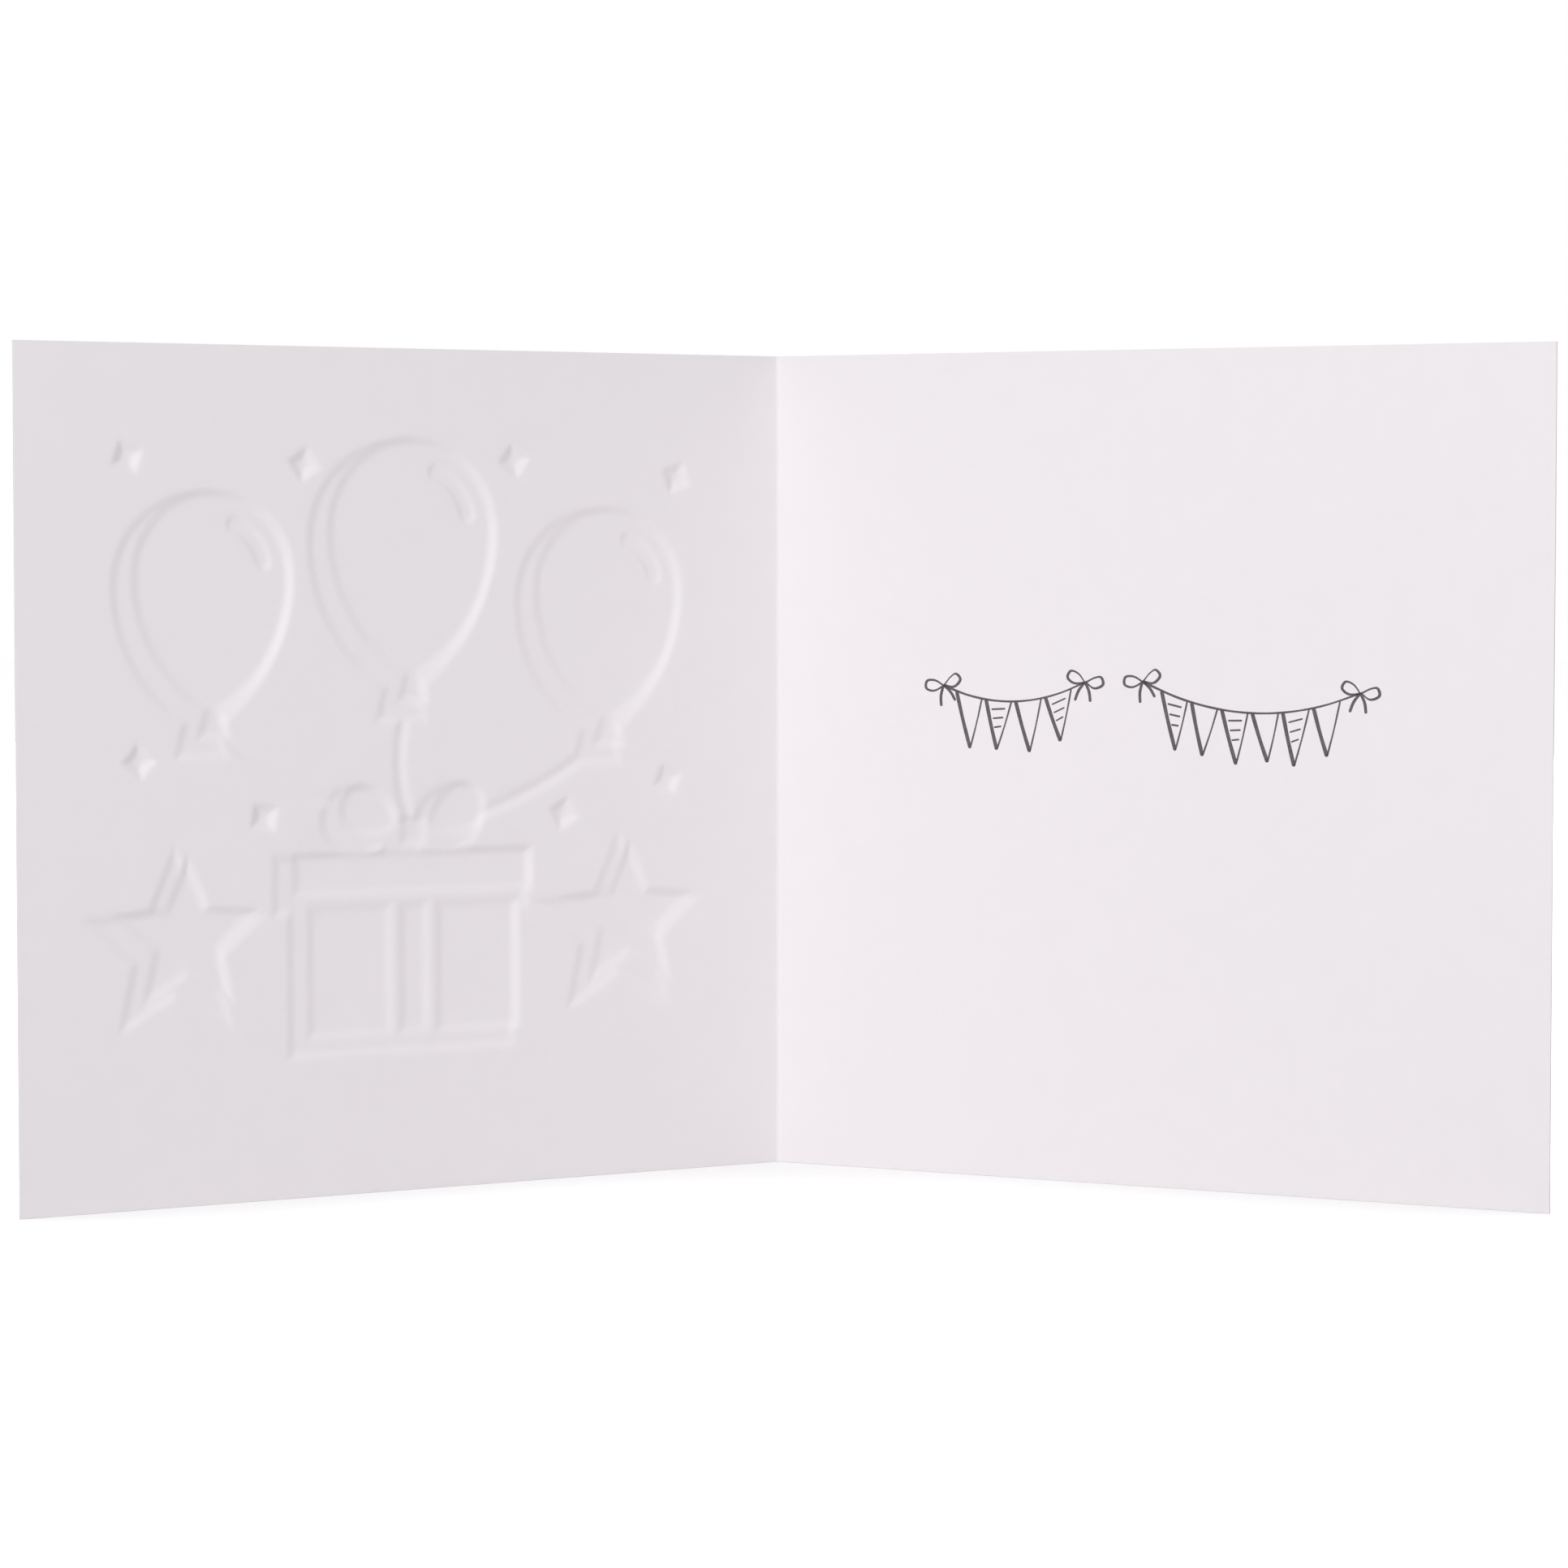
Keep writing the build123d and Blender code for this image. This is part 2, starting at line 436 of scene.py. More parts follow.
def grown(outline, amount):
    """The outline moved outwards, its corners kept sharp."""
    after = right_of(directions(np.roll(outline, -1, 0) - outline))
    before = np.roll(after, 1, 0)
    return outline + amount * (before + after) / (1 + np.sum(before * after, 1))[:, None]


# Walls along the outlines

def runs_of(outline):
    """The outline's edges as (start, end) pairs, none longer than OUTLINE_STEP."""
    runs = []
    for start, end in zip(outline, np.roll(outline, -1, 0)):
        steps = ceil(np.linalg.norm(end - start) / OUTLINE_STEP)
        points = start + (end - start) * np.linspace(0, 1, steps + 1)[:, None]
        runs += list(zip(points[:-1], points[1:]))
    return np.array(runs)


def within(points, outline):
    """Which points lie inside the outline."""
    found = np.zeros(len(points), bool)
    near = np.all((points > outline.min(0)) & (points < outline.max(0)), 1)
    x, y = points[near].T[:, :, None]
    x1, y1 = outline.T
    x2, y2 = np.roll(outline, -1, 0).T
    straddles = (y1 > y) != (y2 > y)
    slope = (x2 - x1) / np.where(y2 == y1, 1, y2 - y1)
    crossings = straddles & (x < x1 + slope * (y - y1))
    found[near] = crossings.sum(1) % 2 == 1
    return found


def distance_to(points, runs):
    """How far each point is from the nearest of the runs."""
    starts = runs[:, 0]
    ahead = runs[:, 1] - starts
    from_start = points[:, None] - starts
    share = np.clip(np.sum(from_start * ahead, 2) / np.sum(ahead**2, 1), 0, 1)
    return np.linalg.norm(from_start - share[:, :, None] * ahead, axis=2).min(1)


def inward_rays(outline):
    """Feet and directions of rays into the outline: one from each run, and a fan at each end."""
    runs = runs_of(outline)
    ahead = runs[:, 1] - runs[:, 0]
    turns = np.arctan2(ahead[:, 1], ahead[:, 0]) + pi / 2
    feet = [runs.mean(1)]
    inwards = [turns]
    for i, bend in enumerate(short_way(np.roll(turns, -1) - turns)):
        steps = max(1, ceil(abs(bend) / FAN_TURN))
        feet.append(np.repeat(runs[i : i + 1, 1], steps, 0))
        inwards.append(turns[i] + bend * (np.arange(steps) + 0.5) / steps)
    inwards = np.concatenate(inwards)
    return np.concatenate(feet), pairs(np.cos(inwards), np.sin(inwards))


class Tier:
    """Figures that are pressed equally far, and join where they overlap."""

    def __init__(self, outlines, rise, wall):
        self.outlines = outlines
        self.wall = wall
        self.middle = rise * tan(WALL_SLOPE) / 2
        self.reach = self.middle + wall
        self.runs = [self.free_runs(i) for i in range(len(outlines))]

    def free_runs(self, index):
        """The parts of one outline's edges that no other outline covers."""
        others = [o for i, o in enumerate(self.outlines) if i != index]
        runs = runs_of(self.outlines[index])

        def covered(points):
            """Which points lie inside any of the other outlines."""
            return np.any([within(points, other) for other in others], 0)

        start_in, end_in = covered(runs[:, 0]), covered(runs[:, 1])
        pieces = [runs[~start_in & ~end_in]]
        steps = np.linspace(0, 1, ceil(OUTLINE_STEP / CLIPPED_STEP) + 1)[:, None]
        for start, end in runs[start_in != end_in]:
            points = start + (end - start) * steps
            parts = np.stack([points[:-1], points[1:]], 1)
            pieces.append(parts[~covered(parts.mean(1))])
        return np.concatenate(pieces)

    def inset(self, points):
        """How far inside the joined figures each point is, up to the tier's reach."""
        inside = np.zeros(len(points), bool)
        distance = np.full(len(points), self.reach)
        for outline, runs in zip(self.outlines, self.runs):
            inside |= within(points, outline)
            if len(runs):
                low, high = outline.min(0) - self.reach, outline.max(0) + self.reach
                near = np.nonzero(np.all((points > low) & (points < high), 1))[0]
                for part in np.array_split(near, max(1, ceil(len(near) / POINTS_AT_ONCE))):
                    distance[part] = np.minimum(distance[part], distance_to(points[part], runs))
        return np.where(inside, distance, -distance)

    def pressed(self, points):
        """How much of the tier's rise each point has, from 0 to 1."""
        return soft_step((self.inset(points) - self.middle) / self.wall + 0.5)

    def rows(self):
        """Points in rows that follow the walls."""
        found = []
        for outline in self.outlines:
            feet, inwards = inward_rays(outline)
            for share in ROW_SHARES:
                depth = self.middle + share * self.wall
                points = feet + inwards * depth
                found.append(points[np.abs(self.inset(points) - depth) < ROW_TOLERANCE])
        return np.concatenate(found)


def emboss_tiers():
    """The shade, face and glint tiers of the picture."""
    figures = parcel()
    glints = []
    strings = []
    for crown, across, up in BALLOONS:
        figures += [drop(crown) + (across, up), balloon_knot(crown) + (across, up)]
        glints.append(glint(crown) + (across, up))
        strings.append(balloon_string(crown, across, up))
    for side in (-1, 1):
        figures.append(star() + (side * STAR_OFFSET, STAR_LIFT))
    shades = [grown(figure, SHADE_GROWTH) + (SHADE_SIDEWAYS, -SHADE_DOWN) for figure in figures]
    for across, up, turn in CONFETTI:
        figures.append(turned(rectangle(CONFETTI_SIDE, CONFETTI_SIDE), radians(turn)) + (across, up))
    return (
        Tier(shades + strings, SHADE_RISE, SHADE_WALL),
        Tier(figures, FACE_RISE, FACE_WALL),
        Tier(glints, GLINT_RISE, GLINT_WALL),
    )


def die_depth(tiers, points):
    """How far the die presses the board out at each point of the emboss."""
    shade, face, highlight = (tier.pressed(points) for tier in tiers)
    shade_depth = SHADE_RISE * shade
    return shade_depth + face * (FACE_RISE - shade_depth) + highlight * GLINT_RISE


def emboss_depth(tiers, points):
    """The board's own depth: it can't follow the die's corners closer than SHEET_SOFTNESS."""
    depth = die_depth(tiers, points)
    for i in range(SOFTNESS_SAMPLES):
        turn = 2 * pi * i / SOFTNESS_SAMPLES
        nearby = points + (SHEET_SOFTNESS * cos(turn), SHEET_SOFTNESS * sin(turn))
        depth = depth + die_depth(tiers, nearby)
    return depth / (SOFTNESS_SAMPLES + 1)


# The opened sheet and where it comes in space

def waviness(along, up):
    """How far the board stands outside its leaf's plane, which is not at all near the fold."""
    fade = soft_step((np.abs(along) - WAVE_START) / (LEAF_WIDTH - WAVE_START))
    swell = 0
    for share, sideways, upwards, start in WAVES:
        swell = swell + share * np.sin(sideways * along + upwards * up + start)
    return WAVE_HEIGHT * fade * swell


def on_card(along, up, lift):
    """Points in space for places on the sheet, lift metres outside its middle surface."""
    lift = lift + waviness(along, up)
    side = np.where(along < 0, -1.0, 1.0)
    reach = np.abs(along)
    leaf_x = side * (reach * sin(HALF_OPENING) + lift * cos(HALF_OPENING))
    leaf_y = APEX_Y - reach * cos(HALF_OPENING) + lift * sin(HALF_OPENING)
    turn = FOLD_SWEEP * along / FOLD_TANGENT
    fold_x = (FOLD_MIDDLE_RADIUS + lift) * np.sin(turn)
    fold_y = FOLD_CENTRE_Y + (FOLD_MIDDLE_RADIUS + lift) * np.cos(turn)
    in_fold = reach < FOLD_TANGENT
    return np.stack([np.where(in_fold, fold_x, leaf_x), np.where(in_fold, fold_y, leaf_y), up], 1)


def fold_columns():
    """Where the sheet has upright lines of points, in the fold and close beside it."""
    columns = [share * FOLD_TANGENT for share in FOLD_COLUMNS]
    for margin in CREASE_MARGINS:
        columns += [-margin, margin]
    return sorted(columns)


def edge_heights():
    """How high the points of an upright line are, from just above the foot to just below the head."""
    return spread(EDGE_SOFTNESS, CARD_HEIGHT - EDGE_SOFTNESS, EDGE_STEP)


def sheet_edge():
    """Places round the sheet, just inside its cut edges, anticlockwise."""
    side = LEAF_WIDTH - EDGE_SOFTNESS
    columns = fold_columns()
    left = spread(-side, columns[0], EDGE_STEP)[:-1]
    right = spread(columns[-1], side, EDGE_STEP)[1:]
    widths = np.concatenate([left, columns, right])
    heights = edge_heights()
    return np.concatenate([
        pairs(widths[:-1], heights[0]),
        pairs(side, heights[:-1]),
        pairs(widths[:0:-1], heights[-1]),
        pairs(-side, heights[:0:-1]),
    ])


def thinned(points, gap):
    """The points, with no more than one in each square of the given size."""
    cells = np.round(points / gap).astype(int)
    kept = np.unique(cells, axis=0, return_index=True)[1]
    return points[np.sort(kept)]


def clear_of(points, others, margin):
    """The points that have none of the others in or next to their square."""
    taken = {tuple(cell) for cell in np.floor(others / margin).astype(int)}
    kept = []
    for point, (i, j) in zip(points, np.floor(points / margin).astype(int)):
        if not any((i + di, j + dj) in taken for di in (-1, 0, 1) for dj in (-1, 0, 1)):
            kept.append(point)
    return np.array(kept)


def open_board():
    """Places in staggered rows all over the sheet, but for its fold."""
    half_step = OPEN_STEP / 2
    places = []
    for i, up in enumerate(np.arange(OPEN_STEP, CARD_HEIGHT - half_step, OPEN_STEP * sqrt(3) / 2)):
        first = half_step * (1 + i % 2) - LEAF_WIDTH
        for along in np.arange(first, LEAF_WIDTH - half_step / 2, OPEN_STEP):
            places.append((along, up))
    places = np.array(places)
    return places[np.abs(places[:, 0]) > max(CREASE_MARGINS) + OPEN_MARGIN]


def sheet_points(tiers):
    """Places on the sheet for the mesh's points: the emboss's walls and the open board."""
    emboss = thinned(np.concatenate([tier.rows() for tier in tiers]), POINT_GAP)
    walls = pairs(-(emboss[:, 0] + LEAF_WIDTH / 2), emboss[:, 1] + PICTURE_FOOT)
    return np.concatenate([walls, clear_of(open_board(), walls, OPEN_MARGIN)])


def triangulated(tiers):
    """Points and triangles of the opened sheet, which keep to its edge and to the fold's columns."""
    edge = sheet_edge()
    points = [tuple(place) for place in edge]
    lines = [(i, (i + 1) % len(edge)) for i in range(len(edge))]
    for along in fold_columns():
        first = len(points)
        points += [(along, up) for up in edge_heights()]
        lines += [(i, i + 1) for i in range(first, len(points) - 1)]
    points += [tuple(place) for place in sheet_points(tiers)]
    corners, _, triangles, *_ = delaunay_2d_cdt(points, lines, [], WHOLE_HULL, MERGE_GAP)
    return np.array([tuple(corner) for corner in corners], float), np.array(triangles, int)


def boundary_loop(triangles):
    """The triangles' outer boundary as a ring of point numbers, anticlockwise."""
    edges = {tuple(edge) for t in triangles.tolist() for edge in zip(t, t[1:] + t[:1])}
    onward = {a: b for a, b in edges if (b, a) not in edges}
    ring = [min(onward)]
    while onward[ring[-1]] != ring[0]:
        ring.append(onward[ring[-1]])
    return np.array(ring)


def out_to(values, cut):
    """The values, those that lie just inside a cut edge moved out to it."""
    return np.where(np.abs(values - cut) < 2 * EDGE_SOFTNESS, cut, values)


def sheet_depths(tiers, places):
    """How far the emboss presses the board out at each place on the sheet."""
    depths = np.zeros(len(places))
    on_front = places[:, 0] < -2 * max(CREASE_MARGINS)
    in_emboss = pairs(-places[:, 0] - LEAF_WIDTH / 2, places[:, 1] - PICTURE_FOOT)
    depths[on_front] = emboss_depth(tiers, in_emboss[on_front])
    return depths


def cut_edge(ring, count):
    """Quads from the inner face's edge out to the cut, across it, and in to the outer face's edge.

    The points are numbered as in card_sheet: the inner face's count points and the outer face's,
    then the ring at the cut's inner side and at its outer side.
    """
    inner_cut = 2 * count + np.arange(len(ring))
    outer_cut = inner_cut + len(ring)
    loops = (ring, inner_cut, outer_cut, count + ring)
    quads = []
    for near, far in zip(loops, loops[1:]):
        quads += np.stack([np.roll(near, -1), near, far, np.roll(far, -1)], 1).tolist()
    return quads


def card_sheet():
    """The folded and embossed board: two faces the same shape, closed by a cut edge."""
    tiers = emboss_tiers()
    places, triangles = triangulated(tiers)
    depths = sheet_depths(tiers, places)
    half = BOARD_THICKNESS / 2
    inner = on_card(places[:, 0], places[:, 1], depths - half)
    outer = on_card(places[:, 0], places[:, 1], depths + half)

    ring = boundary_loop(triangles)
    along, up = places[ring].T
    along = out_to(out_to(along, -LEAF_WIDTH), LEAF_WIDTH)
    up = out_to(out_to(up, 0), CARD_HEIGHT)
    cut_inner = on_card(along, up, EDGE_SOFTNESS - half)
    cut_outer = on_card(along, up, half - EDGE_SOFTNESS)

    points = np.concatenate([inner, outer, cut_inner, cut_outer]).tolist()
    faces = triangles.tolist() + (triangles[:, ::-1] + len(places)).tolist()
    mesh = bpy.data.meshes.new("card_sheet")
    mesh.from_pydata(points, [], faces + cut_edge(ring, len(places)))
    mesh.validate()
    mesh.shade_smooth()
    mesh.set_sharp_from_angle(angle=CREASE_ANGLE)
    for face in mesh.polygons[len(faces):]:
        face.material_index = 1
    return added("card_sheet", mesh)


# The pen drawing on the inside of the plain leaf

def smooth_line(knots):
    """A smooth line (Catmull-Rom) of closely spaced points through a few given ones."""
    knots = np.asarray(knots, float)
    padded = np.concatenate([2 * knots[:1] - knots[1:2], knots, 2 * knots[-1:] - knots[-2:-1]])
    line = []
    for a, b, c, d in zip(padded, padded[1:], padded[2:], padded[3:]):
        steps = max(FEWEST_STEPS, ceil(np.linalg.norm(c - b) / PEN_STEP))
        for t in np.linspace(0, 1, steps, endpoint=False):
            line.append(
                b
                + (c - a) * t / 2
                + (2 * a - 5 * b + 4 * c - d) * t**2 / 2
                + (3 * b - a - 3 * c + d) * t**3 / 2
            )
    return np.array(line + [knots[-1]])


def stroke_stations(length, half):
    """How far along a stroke its rings are: a step apart, and closer at its round ends."""
    end = half * (1 - np.cos(np.linspace(0, pi / 2, PEN_END_STEPS)))
    between = spread(half, length - half, PEN_STEP)
    return np.concatenate([end[:-1], between, length - end[-2::-1]])


def half_widths(stations, ahead, half):
    """Half the stroke's width at each station: heavier going down, round at both ends."""
    pressure = 1 + PEN_PRESSURE * -ahead[:, 1] + PEN_TREMOR * np.sin(stations / PEN_TREMOR_LENGTH)
    from_end = np.clip(np.minimum(stations, stations[-1] - stations) / half, 0, 1)
    roundness = np.sqrt(1 - (1 - from_end) ** 2)
    return half * pressure * np.maximum(roundness, PEN_TIP_SHARE)


def pen_stroke(knots, weight):
    """Rings of points along one stroke, flat on top and with sloping sides."""
    line = smooth_line(knots)
    gaps = np.linalg.norm(np.diff(line, axis=0), axis=1)
    travelled = np.concatenate([[0], np.cumsum(gaps)])
    stations = stroke_stations(travelled[-1], weight / 2)
    middle = pairs(*(np.interp(stations, travelled, values) for values in line.T))
    ahead = directions(np.gradient(middle, stations, axis=0))
    aside = -right_of(ahead) * half_widths(stations, ahead, weight / 2)[:, None]
    low = -BOARD_THICKNESS / 2 + INK_SINK
    high = -BOARD_THICKNESS / 2 - INK_HEIGHT
    rings = []
    for share, lift in ((1, low), (INK_SHOULDER, high), (-INK_SHOULDER, high), (-1, low)):
        places = middle + aside * share
        rings.append(on_card(places[:, 0], places[:, 1], np.full(len(places), lift)))
    return np.stack(rings, 1)


def flag(left, right, tip):
    """The two sides of a bunting flag, each a little bowed, as one hand would draw them."""
    down = [left, (left + tip) / 2 - (FLAG_BOW, 0), tip]
    back = [tip, (right + tip) / 2 + (FLAG_BOW, 0), right]
    return [(down, FLAG_WEIGHT), (back, FLAG_WEIGHT)]


def flag_hatching(left, right, tip):
    """Short slanting lines across a flag, clear of its sides."""
    strokes = []
    for share in HATCH_SHARES:
        start = left + (tip - left) * share
        end = right + (tip - right) * share + (0, HATCH_SLANT)
        inset = (end - start) * HATCH_INSET
        strokes.append(([start + inset, end - inset], HATCH_WEIGHT))
    return strokes


def pen_bow(place, lean):
    """A small bow: two loops in one go of the pen, then two tails."""
    strokes = []
    for shape in (PEN_BOW_LOOPS, *PEN_BOW_TAILS):
        knots = turned(np.array(shape) * PEN_BOW_SIZE, lean) + place
        strokes.append((knots, BOW_WEIGHT))
    return strokes


def bunting(start, end, sag, flags, first_hatched):
    """One swag: a hanging line tied with a bow at each end, and its flags."""
    start, end = np.array(start), np.array(end)

    def line_at(share):
        """A place along the hanging line, which sags most in its middle."""
        return start + (end - start) * share - (0, 4 * sag * share * (1 - share))

    strokes = [([line_at(share) for share in np.linspace(0, 1, LINE_KNOTS)], LINE_WEIGHT)]
    strokes += pen_bow(start, PEN_BOW_LEAN)
    strokes += pen_bow(end, -PEN_BOW_LEAN)
    for i in range(flags):
        middle = (1 - FLAGS_SHARE) / 2 + FLAGS_SHARE * (i + 0.5) / flags
        half_width = FLAGS_SHARE * FLAG_SHARE / flags / 2
        left, right = line_at(middle - half_width), line_at(middle + half_width)
        tip = (left + right) / 2 + (FLAG_LEANS[i], -FLAG_HEIGHTS[i])
        strokes += flag(left, right, tip)
        if i % 2 == first_hatched:
            strokes += flag_hatching(left, right, tip)
    return strokes


def tube_faces(first, rings, size):
    """Faces of a closed tube of rings, each of size points, from the first point's number on."""
    faces = []
    for i in range(rings - 1):
        for j in range(size):
            a = first + size * i + j
            b = first + size * i + (j + 1) % size
            faces.append((a, b, b + size, a + size))
    last = first + size * (rings - 1)
    faces.append(tuple(reversed(range(first, first + size))))
    faces.append(tuple(range(last, last + size)))
    return faces


def pen_drawing():
    """Two swags of bunting in pen line, lying on the board as a thin layer of ink."""
    strokes = []
    for swag in SWAGS:
        strokes += bunting(*swag)
    points = []
    faces = []
    for knots, weight in strokes:
        rings = pen_stroke(knots, weight)
        faces += tube_faces(len(points), *rings.shape[:2])
        points += rings.reshape(-1, 3).tolist()
    mesh = bpy.data.meshes.new("pen_drawing")
    mesh.from_pydata(points, [], faces)
    shape = bmesh.new()
    shape.from_mesh(mesh)
    bmesh.ops.recalc_face_normals(shape, faces=shape.faces)
    shape.to_mesh(mesh)
    shape.free()
    mesh.shade_smooth()
    mesh.set_sharp_from_angle(angle=CREASE_ANGLE)
    return added("pen_drawing", mesh)


# Materials

def linear(colour):
    """A colour given as 0 to 255 screen values, for a shader's socket."""
    return [*Color([value / 255 for value in colour]).from_srgb_to_scene_linear(), 1]


class Surface:
    """A material that is laid out as nodes, from the object's coordinates to the shader."""

    def __init__(self, name):
        self.material = bpy.data.materials.new(name)
        self.material.use_nodes = True
        self.nodes = self.material.node_tree.nodes
        self.links = self.material.node_tree.links
        self.shader = self.nodes["Principled BSDF"]
        self.place = self.nodes.new("ShaderNodeTexCoord").outputs["Object"]

    def drive(self, socket, value):
        """Lets a value set one of the shader's sockets."""
        self.links.new(value, self.shader.inputs[socket])

    def stretched(self, shares):
        """The coordinates drawn out, so that a noise gives streaks."""
        node = self.nodes.new("ShaderNodeMapping")
        node.inputs["Scale"].default_value = shares
        self.links.new(self.place, node.inputs["Vector"])
        return node.outputs["Vector"]

    def noise(self, place, size, detail):
        """Cloudy values from 0 to 1, with features about this many metres across."""
        node = self.nodes.new("ShaderNodeTexNoise")
        node.inputs["Scale"].default_value = 1 / size
        node.inputs["Detail"].default_value = detail
        node.inputs["Roughness"].default_value = NOISE_ROUGHNESS
        self.links.new(place, node.inputs["Vector"])
        return node.outputs["Fac"]

    def between(self, value, low, high):
        """The value taken from the middle of its range to low and high."""
        node = self.nodes.new("ShaderNodeMapRange")
        node.inputs["From Min"].default_value = NOISE_LOW
        node.inputs["From Max"].default_value = NOISE_HIGH
        node.inputs["To Min"].default_value = low
        node.inputs["To Max"].default_value = high
        self.links.new(value, node.inputs["Value"])
        return node.outputs["Result"]

    def mixed(self, value, colour, other):
        """A colour that goes from one to the other as the value does."""
        node = self.nodes.new("ShaderNodeMix")
        node.data_type = "RGBA"
        node.inputs["A"].default_value = linear(colour)
        node.inputs["B"].default_value = linear(other)
        self.links.new(self.between(value, 0, 1), node.inputs["Factor"])
        return node.outputs["Result"]

    def added_up(self, value, other):
        """The two values together."""
        node = self.nodes.new("ShaderNodeMath")
        node.operation = "ADD"
        self.links.new(value, node.inputs[0])
        self.links.new(other, node.inputs[1])
        return node.outputs["Value"]

    def roughen(self, heights, depth):
        """Gives the surface fine relief, this deep where the heights are one."""
        node = self.nodes.new("ShaderNodeBump")
        node.inputs["Strength"].default_value = 1
        node.inputs["Distance"].default_value = depth
        self.links.new(heights, node.inputs["Height"])
        self.drive("Normal", node.outputs["Normal"])


def board_face():
    """Smooth matt board: a faint cloudiness, and the fine tooth of pressed fibres."""
    surface = Surface("board_face")
    clouds = surface.noise(surface.place, *CLOUDS)
    tooth = surface.noise(surface.place, *TOOTH)
    fibres = surface.noise(surface.stretched(FIBRE_STRETCH), *FIBRES)
    surface.drive("Base Color", surface.mixed(clouds, BOARD_COLOUR, BOARD_COLOUR_DEEP))
    surface.drive("Roughness", surface.between(tooth, *BOARD_ROUGHNESS))
    surface.roughen(surface.added_up(tooth, fibres), TOOTH_DEPTH)
    surface.shader.inputs["Specular IOR Level"].default_value = BOARD_SPECULAR
    return surface.material


def board_edge():
    """The cut edge: the board's core, rougher, in thin layers of fibre."""
    surface = Surface("board_edge")
    layers = surface.noise(surface.place, *LAYERS)
    surface.drive("Base Color", surface.mixed(layers, CORE_COLOUR, CORE_COLOUR_DEEP))
    surface.roughen(layers, LAYER_DEPTH)
    surface.shader.inputs["Roughness"].default_value = CORE_ROUGHNESS
    surface.shader.inputs["Specular IOR Level"].default_value = CORE_SPECULAR
    return surface.material


def ink():
    """Dark grey pen ink, uneven where the board took more or less of it."""
    surface = Surface("ink")
    grain = surface.noise(surface.place, *INK_GRAIN)
    pools = surface.noise(surface.place, *INK_POOLS)
    surface.drive("Base Color", surface.mixed(grain, INK_COLOUR, INK_COLOUR_PALE))
    surface.drive("Roughness", surface.between(pools, *INK_ROUGHNESS))
    surface.shader.inputs["Specular IOR Level"].default_value = INK_SPECULAR
    return surface.material


# Room, light and camera

def seen_or_reflected(nodes, links, strength, otherwise=0):
    """One strength for camera, glossy and transmission rays, and another for all others."""
    path = nodes.new("ShaderNodeLightPath")
    total = path.outputs["Is Camera Ray"]
    for name in ("Is Glossy Ray", "Is Transmission Ray"):
        either = nodes.new("ShaderNodeMath")
        either.operation = "MAXIMUM"
        links.new(total, either.inputs[0])
        links.new(path.outputs[name], either.inputs[1])
        total = either.outputs["Value"]
    chosen = nodes.new("ShaderNodeMapRange")
    chosen.inputs["To Min"].default_value = otherwise
    chosen.inputs["To Max"].default_value = strength
    links.new(total, chosen.inputs["Value"])
    return chosen.outputs["Result"]


def floor_material():
    """Pale paint that glows where it is seen, with a shadow painted into the glow close to the card.
    """
    material = bpy.data.materials.new("floor")
    material.use_nodes = True
    nodes, links = material.node_tree.nodes, material.node_tree.links
    nodes.clear()
    paint = nodes.new("ShaderNodeBsdfDiffuse")
    paint.inputs["Color"].default_value = (FLOOR_SHADE, FLOOR_SHADE, FLOOR_SHADE, 1)
    # Painted shadow: the glow is dimmed where the card closes off the open space above the floor
    painted_shadow = nodes.new("ShaderNodeAmbientOcclusion")
    painted_shadow.inputs["Distance"].default_value = PAINTED_SHADOW_SIZE
    painted_shadow.samples = PAINTED_SHADOW_SAMPLES
    openness = nodes.new("ShaderNodeMapRange")
    openness.inputs["From Min"].default_value = PAINTED_SHADOW_OPENNESS
    openness.inputs["To Min"].default_value = PAINTED_SHADOW_GLOW
    links.new(painted_shadow.outputs["AO"], openness.inputs["Value"])
    glow = nodes.new("ShaderNodeEmission")
    links.new(openness.outputs["Result"], glow.inputs["Color"])
    links.new(seen_or_reflected(nodes, links, FLOOR_GLOW), glow.inputs["Strength"])
    total = nodes.new("ShaderNodeAddShader")
    links.new(paint.outputs["BSDF"], total.inputs[0])
    links.new(glow.outputs["Emission"], total.inputs[1])
    output = nodes.new("ShaderNodeOutputMaterial")
    links.new(total.outputs["Shader"], output.inputs["Surface"])
    return material


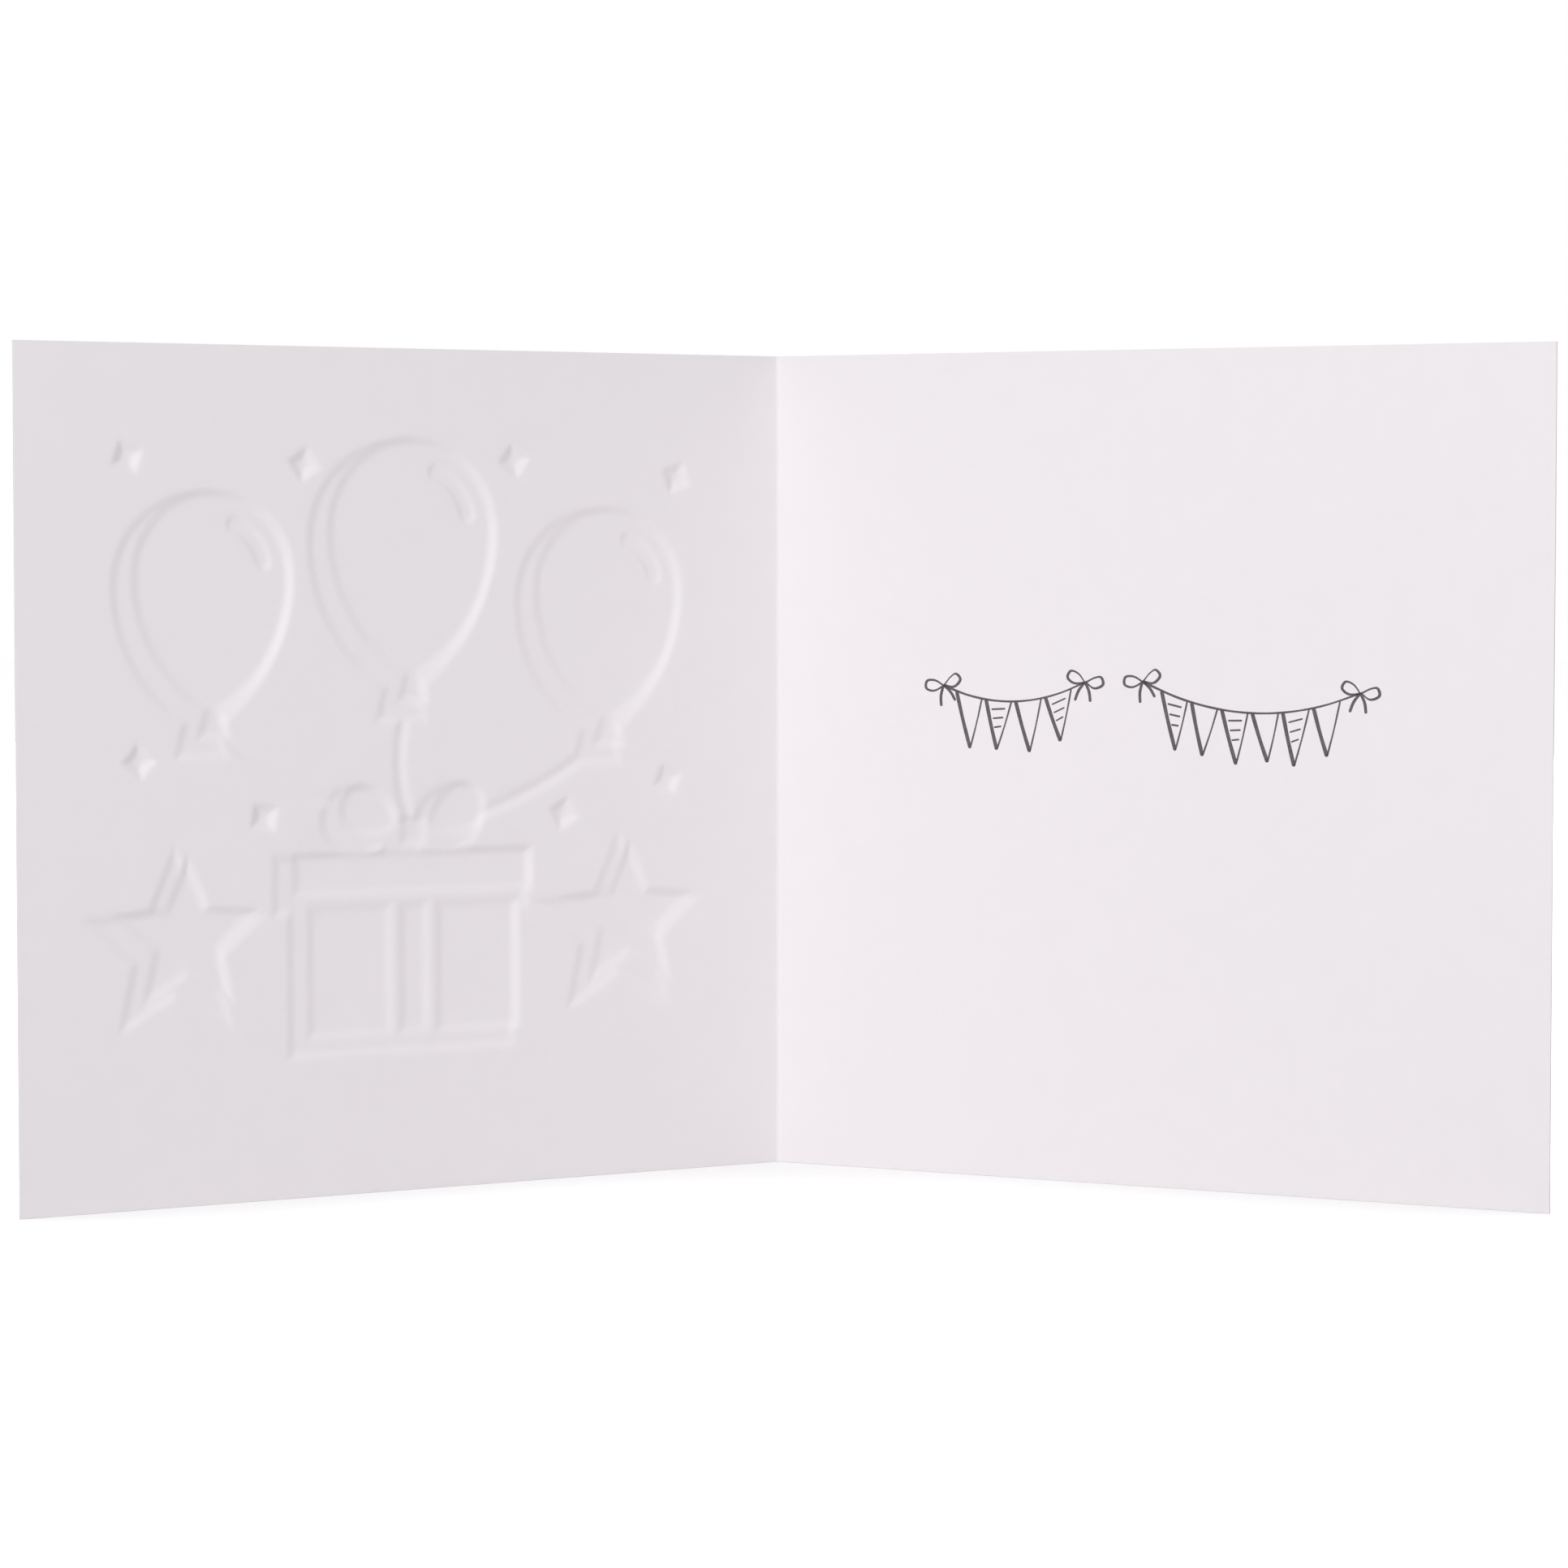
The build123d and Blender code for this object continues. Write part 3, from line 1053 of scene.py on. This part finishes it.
def studio_floor():
    """A round pale floor that the camera sees as white, with the card's cast shadow and a painted
    shadow near it.
    """
    mesh = bpy.data.meshes.new("studio_floor")
    shape = bmesh.new()
    bmesh.ops.create_circle(shape, cap_ends=True, segments=FLOOR_SEGMENTS, radius=FLOOR_RADIUS)
    shape.to_mesh(mesh)
    shape.free()
    mesh.materials.append(floor_material())
    floor = added("studio_floor", mesh)
    floor.location.z = -FLOOR_GAP


def studio_world():
    """White wherever it is seen, and soft light from all round."""
    world = bpy.data.worlds.new("studio")
    world.use_nodes = True
    nodes, links = world.node_tree.nodes, world.node_tree.links
    sky = nodes["Background"]
    sky.inputs["Color"].default_value = (1, 1, 1, 1)
    links.new(seen_or_reflected(nodes, links, 1, WORLD_LIGHT), sky.inputs["Strength"])
    bpy.context.scene.world = world


def soft_lamp(name, power, size, distance, left_angle, height_angle):
    """A round soft lamp that faces the card, turned left of the card's front and up from it."""
    lamp = bpy.data.lights.new(name, "AREA")
    lamp.shape = "DISK"
    lamp.size = size
    lamp.energy = power
    light = added(name, lamp)
    flat = distance * cos(height_angle)
    light.location = (
        -flat * sin(left_angle),
        -flat * cos(left_angle),
        CARD_HEIGHT / 2 + distance * sin(height_angle),
    )
    light.rotation_euler = (pi / 2 - height_angle, 0, -left_angle)


def photo_camera():
    """The camera, where the photograph's perspective puts it."""
    camera = bpy.data.cameras.new("camera")
    camera.lens = CAMERA_LENS
    camera.sensor_width = CAMERA_SENSOR
    camera.clip_start = CAMERA_NEAR
    eye = added("camera", camera)
    eye.location = CAMERA_PLACE
    eye.rotation_euler = (pi / 2 - CAMERA_DOWN, 0, CAMERA_TURN)
    bpy.context.scene.camera = eye


sheet = card_sheet()
sheet.data.materials.append(board_face())
sheet.data.materials.append(board_edge())
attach(sheet, "root")
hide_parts("folded_card")

drawing = pen_drawing()
drawing.data.materials.append(ink())
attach(drawing, "root")

studio_floor()
studio_world()
for lamp in LAMPS:
    soft_lamp(*lamp)
photo_camera()
bpy.context.scene.view_settings.view_transform = "Standard"
